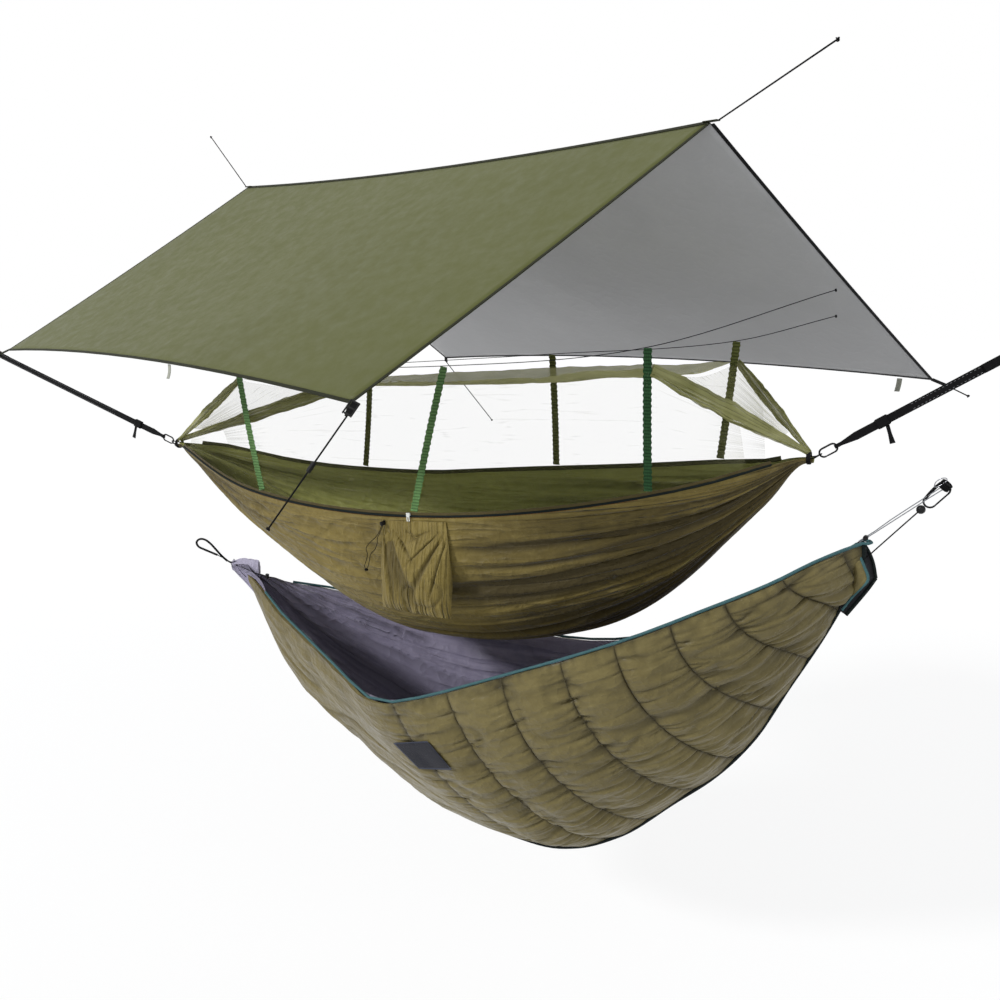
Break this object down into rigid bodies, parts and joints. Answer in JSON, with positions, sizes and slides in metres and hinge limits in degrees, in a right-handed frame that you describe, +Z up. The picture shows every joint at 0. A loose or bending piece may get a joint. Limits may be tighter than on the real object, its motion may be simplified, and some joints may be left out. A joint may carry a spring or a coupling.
{
  "type": "hammock tent",
  "caption": "Netted camping hammock hung on tree straps, with a ridge fly above and a quilted insulation layer hanging below.",
  "frame": {"origin": "the outer end of the left tree strap, where it goes round the tree", "axes": "+X runs along the hammock from the left strap to the right strap, +Y points to the far side, +Z is up"},
  "size_m": [4.737, 3.6064, 3.1404],
  "materials": {
    "fly_olive": "coated ripstop, olive outside",
    "fly_grey": "coated ripstop, grey inside face",
    "binding_black": "matt woven binding",
    "webbing_black": "woven webbing and cord",
    "plastic_black": "moulded, fine grain",
    "anodised_black": "black anodised, satin",
    "bed_olive": "light woven nylon, crinkled",
    "rim_slate": "woven tape",
    "zip_white": "moulded, off-white",
    "net_olive": "fine insect netting",
    "ribbon_green": "woven ribbon",
    "quilt_olive": "light shell fabric over fill",
    "lining_lilac": "light lining fabric",
    "quilt_teal": "woven binding",
    "cord_grey": "elastic cord"
  },
  "bodies": {
    "shelter": {"bed_bottom_panel": "bed_olive", "bed_far_panel": "bed_olive", "bed_near_panel": "bed_olive", "carabiner_left": "anodised_black", "carabiner_right": "anodised_black", "fly_far_binding": "binding_black", "fly_far_panel": "fly_grey", "fly_near_binding": "fly_olive", "fly_near_panel": "fly_olive", "fly_ridge_tape": "fly_olive", "gather_rope_left": "webbing_black", "gather_rope_right": "webbing_black", "guyline_far_front": "webbing_black", "guyline_far_rear": "webbing_black", "guyline_front": "webbing_black", "guyline_near_front": "webbing_black", "guyline_near_rear": "webbing_black", "guyline_rear": "webbing_black", "hip_seam_far_left": "net_olive", "hip_seam_far_right": "net_olive", "hip_seam_near_left": "net_olive", "hip_seam_near_right": "net_olive", "net_far_wall": "net_olive", "net_left_end": "net_olive", "net_near_wall": "net_olive", "net_right_end": "net_olive", "net_roof": "net_olive", "pouch": "bed_olive", "pouch_drawcord": "webbing_black", "quilt_ball_knot": "plastic_black", "quilt_binding": "quilt_teal", "quilt_carabiner": "anodised_black", "quilt_far_half": "quilt_olive", "quilt_hang_cord": "webbing_black", "quilt_lining": "lining_lilac", "quilt_loop_cord": "webbing_black", "quilt_near_half": "quilt_olive", "quilt_shock_cord": "cord_grey", "ribbon_far_1": "ribbon_green", "ribbon_far_2": "ribbon_green", "ribbon_far_3": "ribbon_green", "ribbon_near_1": "ribbon_green", "ribbon_near_2": "ribbon_green", "ribbon_near_3": "ribbon_green", "ridge_cord_far": "webbing_black", "ridge_cord_near": "webbing_black", "rim_tape_far": "rim_slate", "tree_strap_left": "webbing_black", "tree_strap_right": "webbing_black", "zip_tape_near": "rim_slate"},
    "left_gate": {"carabiner_left_gate": "anodised_black"},
    "right_gate": {"carabiner_right_gate": "anodised_black"},
    "quilt_gate": {"quilt_carabiner_gate": "anodised_black"},
    "zip_runner": {"zip_slider": "zip_white"},
    "pouch_lock": {"pouch_cord_lock": "plastic_black"},
    "pouch_lock_press": {"pouch_cord_lock_button": "plastic_black"},
    "quilt_left_lock": {"quilt_cord_lock_left": "plastic_black"},
    "quilt_right_lock": {"quilt_cord_lock_right": "plastic_black"},
    "quilt_right_lock_press": {"quilt_cord_lock_right_button": "plastic_black"},
    "runner": {"guyline_tensioner": "plastic_black"}
  },
  "joints": [
    {"name": "left_gate_hinge", "type": "hinge", "parent": "shelter", "child": "left_gate", "pos_m": [1.21752, 0, -0.40841], "axis": [0, 1, 0], "range_deg": [0, 35], "stiffness_Nm_per_rad": 0.05, "springref_deg": -20.05},
    {"name": "right_gate_hinge", "type": "hinge", "parent": "shelter", "child": "right_gate", "pos_m": [4.19735, 0, -0.25208], "axis": [0, -1, 0], "range_deg": [0, 35], "stiffness_Nm_per_rad": 0.05, "springref_deg": -20.05},
    {"name": "quilt_gate_hinge", "type": "hinge", "parent": "shelter", "child": "quilt_gate", "pos_m": [4.5474, -0.004, -0.38839], "axis": [0, -1, 0], "range_deg": [0, 35], "stiffness_Nm_per_rad": 0.05, "springref_deg": -20.05},
    {"name": "zip_travel", "type": "hinge", "parent": "shelter", "child": "zip_runner", "pos_m": [2.69509, 2.11738, 1.1157], "axis": [-0.0664, -0.5441, 0.8364], "range_deg": [-13, 17]},
    {"name": "pouch_lock_slide", "type": "slide", "parent": "shelter", "child": "pouch_lock", "axis": [-0.4107, 0, -0.9118], "range_m": [0, 0.006]},
    {"name": "pouch_lock_press", "type": "slide", "parent": "pouch_lock", "child": "pouch_lock_press", "axis": [0, 1, 0], "range_m": [0, 0.0022], "stiffness_N_per_m": 400, "springref_m": -0.003},
    {"name": "quilt_left_lock_slide", "type": "slide", "parent": "shelter", "child": "quilt_left_lock", "axis": [0.9941, 0, -0.1081], "range_m": [-0.03, 0.008]},
    {"name": "quilt_right_lock_slide", "type": "slide", "parent": "shelter", "child": "quilt_right_lock", "axis": [0.7659, 0, 0.6429], "range_m": [0, 0.02]},
    {"name": "quilt_right_lock_press", "type": "slide", "parent": "quilt_right_lock", "child": "quilt_right_lock_press", "axis": [0, 1, 0], "range_m": [0, 0.0022], "stiffness_N_per_m": 400, "springref_m": -0.003},
    {"name": "runner_slide", "type": "slide", "parent": "shelter", "child": "runner", "axis": [-0.2991, -0.5812, -0.7568], "range_m": [-0.12, 0.15]}
  ]
}
